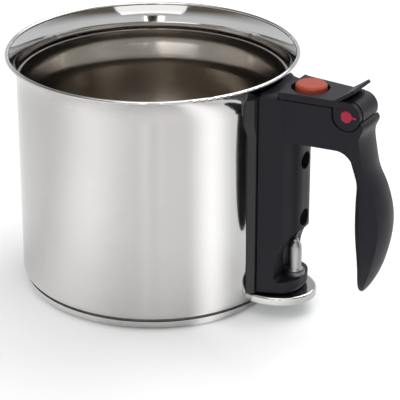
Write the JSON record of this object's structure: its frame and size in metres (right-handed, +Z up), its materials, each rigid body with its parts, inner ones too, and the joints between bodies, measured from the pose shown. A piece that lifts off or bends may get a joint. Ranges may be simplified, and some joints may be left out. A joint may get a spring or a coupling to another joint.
{
  "type": "double-walled melting pot",
  "caption": "Double-walled steel melting pot with a flared pouring rim, a water jacket filled through a flap in its black handle, and a hanging finger grip.",
  "frame": {"origin": "centre of the pot's flat base, on the surface it stands on", "axes": "+Z up along the pot's axis; +X along the handle, away from the pot; the XZ plane is the plane of symmetry"},
  "size_m": [0.2426, 0.1734, 0.149],
  "materials": {
    "polished_steel": "polished stainless steel",
    "liner_steel": "polished stainless steel, darker inside",
    "base_steel": "satin stainless steel",
    "guard_steel": "polished stainless steel",
    "spreader_aluminium": "plain aluminium",
    "bracket_steel": "plain stainless steel",
    "screw_steel": "plain stainless steel",
    "valve_steel": "satin stainless steel",
    "seat_steel": "dark satin stainless steel",
    "spring_steel": "drawn spring wire",
    "insert_brass": "turned brass",
    "handle_plastic": "fine-grained black moulded plastic",
    "adapter_plastic": "dark grey moulded plastic",
    "button_red_plastic": "red moulded plastic",
    "pin_red_plastic": "red moulded plastic",
    "seal_rubber": "heat-proof rubber"
  },
  "bodies": {
    "pot": {"outer_shell": "polished_steel", "inner_liner": "liner_steel", "heat_spreader": "spreader_aluminium", "base_cap": "base_steel", "handle_bracket": "bracket_steel", "filler_nozzle": "bracket_steel", "nozzle_oring": "seal_rubber", "relief_tube": "bracket_steel", "relief_tube_oring": "seal_rubber", "flame_guard": "guard_steel", "wall_adapter": "adapter_plastic", "handle_body": "handle_plastic", "handle_screws": "screw_steel", "screw_washers": "screw_steel", "foot_screws": "screw_steel", "flap_spring": "spring_steel", "relief_seat": "seat_steel", "relief_gasket": "seal_rubber", "relief_spring": "spring_steel", "relief_clip": "spring_steel"},
    "flap": {"flap": "handle_plastic", "flap_seal": "seal_rubber", "whistle_insert": "insert_brass", "pivot_pin": "pin_red_plastic", "button_spring": "spring_steel"},
    "button": {"vent_button": "button_red_plastic", "vent_stem": "screw_steel", "vent_poppet": "seal_rubber", "stem_clip": "spring_steel"},
    "relief_cap": {"relief_cap": "valve_steel"}
  },
  "joints": [
    {"name": "flap_hinge", "type": "hinge", "parent": "pot", "child": "flap", "pos_m": [0.1322, 0, 0.1332], "axis": [0, 1, 0], "range_deg": [0, 65], "stiffness_Nm_per_rad": 0.02, "springref_deg": -34.38},
    {"name": "button_press", "type": "slide", "parent": "flap", "child": "button", "axis": [0, 0, -1], "range_m": [0, 0.002], "stiffness_N_per_m": 600, "springref_m": -0.0003, "deforming": ["button_spring"]},
    {"name": "relief_lift", "type": "slide", "parent": "pot", "child": "relief_cap", "axis": [0, 0, 1], "range_m": [0, 0.003], "stiffness_N_per_m": 400, "springref_m": -0.0005, "deforming": ["relief_spring"]}
  ]
}
